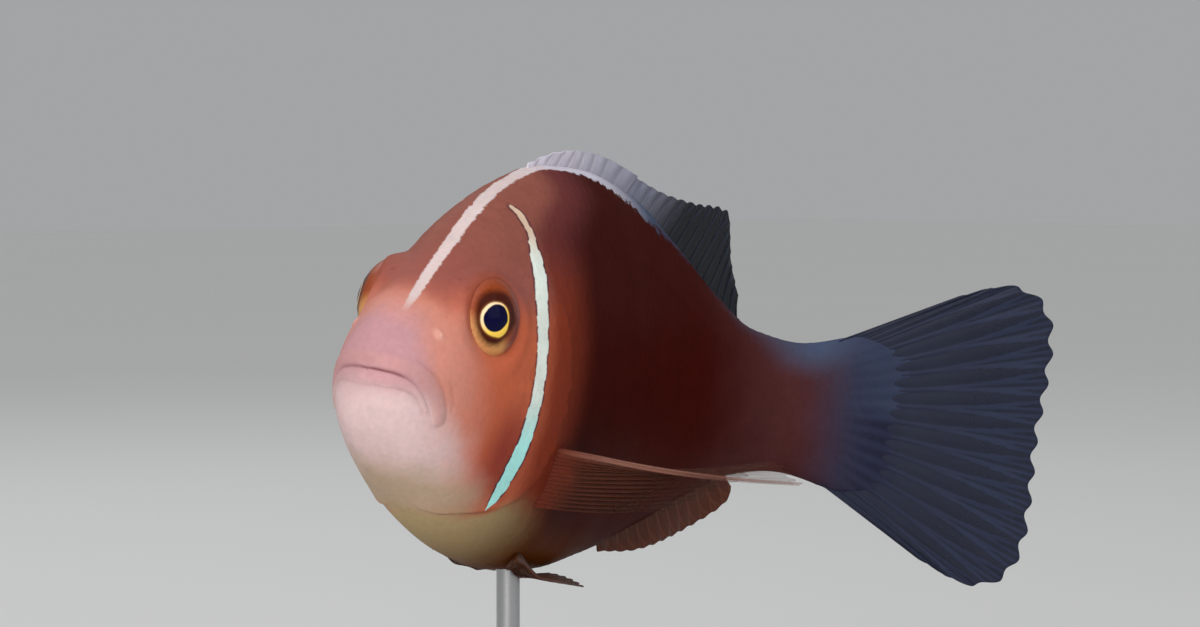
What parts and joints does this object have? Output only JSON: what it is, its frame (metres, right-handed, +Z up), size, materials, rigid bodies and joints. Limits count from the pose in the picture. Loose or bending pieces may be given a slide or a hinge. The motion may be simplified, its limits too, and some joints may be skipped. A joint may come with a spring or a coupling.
{
  "type": "pink skunk clownfish display model",
  "caption": "Life-size clownfish swimming with its body curved to the left, fins set, held on a slim rod over a flat rectangular display base.",
  "frame": {"origin": "centre of the stand base's underside, straight under the rod", "axes": "+X along the stand's length, from the fish's head towards its tail; +Z up"},
  "size_m": [0.1005, 0.05, 0.0723],
  "materials": {
    "skin": "moist satin skin with small flat scales, pink face, dark red-brown flank, white bar and back stripe",
    "fins": "thin rayed membrane, satin",
    "eyes": "clear wet gloss over a gold ring and a dark pupil",
    "stand_wood": "dark oiled wood, satin",
    "stand_metal": "fine brushed"
  },
  "bodies": {
    "root": {"head": "skin", "lower_jaw": "skin", "gill_cover_left": "skin", "gill_cover_right": "skin", "trunk": "skin", "tail_stalk": "skin", "tail_fin": "fins", "dorsal_fin_spiny": "fins", "dorsal_fin_soft": "fins", "anal_fin": "fins", "pectoral_fin_left": "fins", "pectoral_fin_right": "fins", "pelvic_fin_left": "fins", "pelvic_fin_right": "fins", "eye_left": "eyes", "eye_right": "eyes", "stand_base": "stand_wood", "stand_rod": "stand_metal"}
  },
  "joints": []
}
